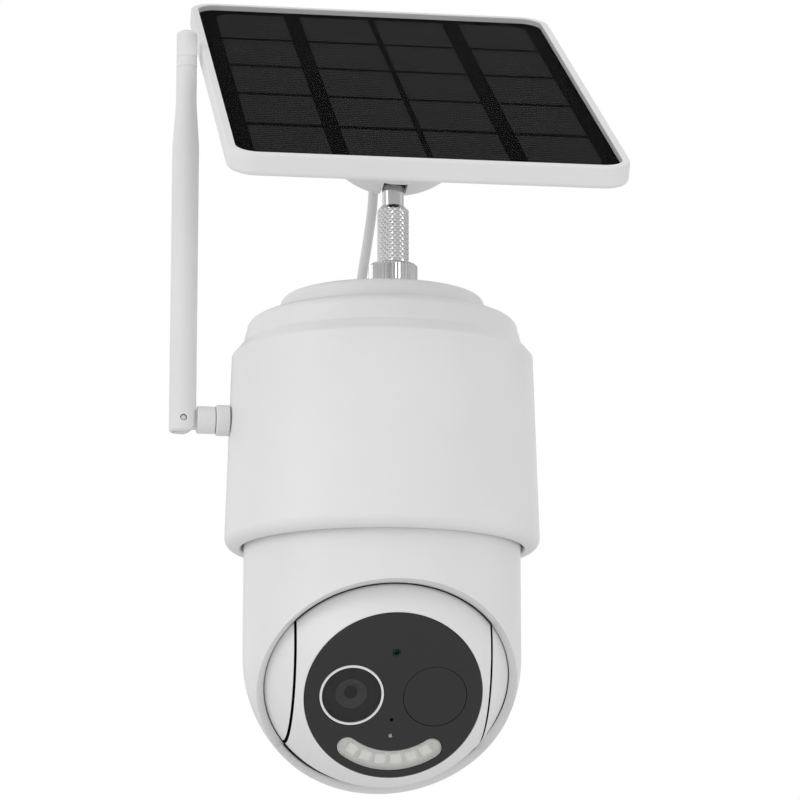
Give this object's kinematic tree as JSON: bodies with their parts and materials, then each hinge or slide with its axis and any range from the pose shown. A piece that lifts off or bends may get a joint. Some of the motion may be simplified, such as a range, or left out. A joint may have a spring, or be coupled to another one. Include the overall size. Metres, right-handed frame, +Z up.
{
  "type": "solar-powered pan and tilt security camera",
  "caption": "Wall-hung outdoor security camera with a turning, tilting round head, a stick antenna and a tilting solar panel on a knurled post above it.",
  "frame": {"origin": "centre of the wall bracket's back face", "axes": "+Z up, +Y into the wall, -Y towards what the camera watches, antenna on the -X side"},
  "size_m": [0.1798, 0.227, 0.3702],
  "materials": {
    "white_plastic": "fine satin moulded plastic",
    "antenna_white": "matt moulded plastic",
    "inner_plastic": "plain moulded plastic",
    "dark_face": "dark grey satin",
    "smoked_window": "smoked, smooth",
    "lamp_diffuser": "milky translucent",
    "lens_metal": "anodised",
    "lens_glass": "coated",
    "nickel": "knurled nickel plate",
    "steel": "zinc plated",
    "brass": "turned",
    "gear_plastic": "acetal",
    "board_green": "solder mask",
    "cell_wrap": "shrink sleeve",
    "rubber": "moulded",
    "panel_glass": "clear, smooth",
    "solar_cell": "dark silicon on a black sheet",
    "cable_jacket": "white jacket"
  },
  "bodies": {
    "root": {"upper_shell": "white_plastic", "top_cap": "white_plastic", "threaded_insert": "brass", "cable_gland": "white_plastic", "base_plate": "inner_plastic", "pan_bush": "gear_plastic", "pan_motor": "steel", "battery_tray": "rubber", "battery_cell_1": "cell_wrap", "battery_cell_2": "cell_wrap", "battery_cell_3": "cell_wrap", "battery_cell_4": "cell_wrap", "main_board": "board_green", "speaker": "rubber", "service_board": "board_green", "wall_bracket": "white_plastic", "bracket_screw_left": "steel", "bracket_screw_right": "steel", "antenna_socket": "antenna_white", "antenna_nut": "brass"},
    "service_cover": {"service_cover": "rubber"},
    "power_button": {"power_button": "inner_plastic"},
    "reset_button": {"reset_button": "inner_plastic"},
    "pan_pinion": {"pan_pinion": "brass"},
    "pan_unit": {"pan_housing": "white_plastic", "pan_cover": "inner_plastic", "pan_gear": "gear_plastic", "spindle_clip": "steel", "side_cover_left": "white_plastic", "side_cover_right": "white_plastic", "tilt_axle_left": "steel", "tilt_axle_right": "steel", "tilt_gear": "gear_plastic"},
    "camera_head": {"head_front_shell": "white_plastic", "head_rear_shell": "white_plastic", "face_plate": "dark_face", "lens_ring": "white_plastic", "lens_cover": "smoked_window", "lens_barrel": "lens_metal", "lens_glass": "lens_glass", "motion_window": "smoked_window", "lamp_window": "lamp_diffuser", "status_light_pipe": "lamp_diffuser", "face_board": "board_green", "image_sensor_board": "board_green", "tilt_motor": "steel"},
    "tilt_pinion": {"tilt_pinion": "brass"},
    "antenna_base": {"antenna_knuckle": "antenna_white", "antenna_pin": "steel"},
    "antenna": {"antenna_rod": "antenna_white"},
    "panel_post": {"post_stem": "nickel", "post_sleeve": "nickel", "panel_cable": "cable_jacket"},
    "lock_ring": {"lock_ring": "nickel"},
    "solar_panel": {"panel_frame": "white_plastic", "panel_glass": "panel_glass", "cell_sheet": "solar_cell", "panel_back": "white_plastic", "tilt_pin": "steel", "panel_hub": "white_plastic"}
  },
  "joints": [
    {"name": "pan", "type": "hinge", "parent": "root", "child": "pan_unit", "pos_m": [0, -0.0932, -0.044], "axis": [0, 0, 1], "range_deg": [-177, 177]},
    {"name": "pan_drive", "type": "hinge", "parent": "root", "child": "pan_pinion", "pos_m": [0, -0.1292, 0], "axis": [0, 0, 1], "range_deg": [-720, 720]},
    {"name": "head_tilt", "type": "hinge", "parent": "pan_unit", "child": "camera_head", "pos_m": [0, -0.0932, -0.0911], "axis": [1, 0, 0], "range_deg": [-30, 30]},
    {"name": "tilt_drive", "type": "hinge", "parent": "camera_head", "child": "tilt_pinion", "pos_m": [0, -0.10051, -0.07869], "axis": [1, 0, 0], "range_deg": [-65, 65]},
    {"name": "panel_swivel", "type": "hinge", "parent": "root", "child": "panel_post", "pos_m": [0.001, -0.1193, 0.068], "axis": [0, 0, 1], "range_deg": [-25, 2]},
    {"name": "panel_tilt", "type": "hinge", "parent": "panel_post", "child": "solar_panel", "pos_m": [0.001, -0.1193, 0.14694], "axis": [1, 0, 0], "range_deg": [-32, 6], "deforming": ["panel_cable"]},
    {"name": "lock_ring_turn", "type": "hinge", "parent": "panel_post", "child": "lock_ring", "pos_m": [0.001, -0.1193, 0.068], "axis": [0, 0, 1], "continuous": true},
    {"name": "antenna_swivel", "type": "hinge", "parent": "root", "child": "antenna_base", "pos_m": [-0.0878, -0.0932, 0.0117], "axis": [1, 0, 0], "range_deg": [-25, 90]},
    {"name": "antenna_fold", "type": "hinge", "parent": "antenna_base", "child": "antenna", "pos_m": [-0.0878, -0.0932, 0.0117], "axis": [0, -1, 0], "range_deg": [0, 90]},
    {"name": "service_cover_pull", "type": "slide", "parent": "root", "child": "service_cover", "axis": [0.7071, 0.7071, 0], "range_m": [0, 0.02]},
    {"name": "power_press", "type": "slide", "parent": "root", "child": "power_button", "axis": [-0.7071, -0.7071, 0], "range_m": [0, 0.001], "stiffness_N_per_m": 1200, "springref_m": -0.001},
    {"name": "reset_press", "type": "slide", "parent": "root", "child": "reset_button", "axis": [-0.7071, -0.7071, 0], "range_m": [0, 0.001], "stiffness_N_per_m": 1200, "springref_m": -0.001}
  ],
  "couplings": [
    {"joint": "pan_drive", "follows": "pan", "ratio": -4},
    {"joint": "tilt_drive", "follows": "head_tilt", "ratio": 2}
  ]
}
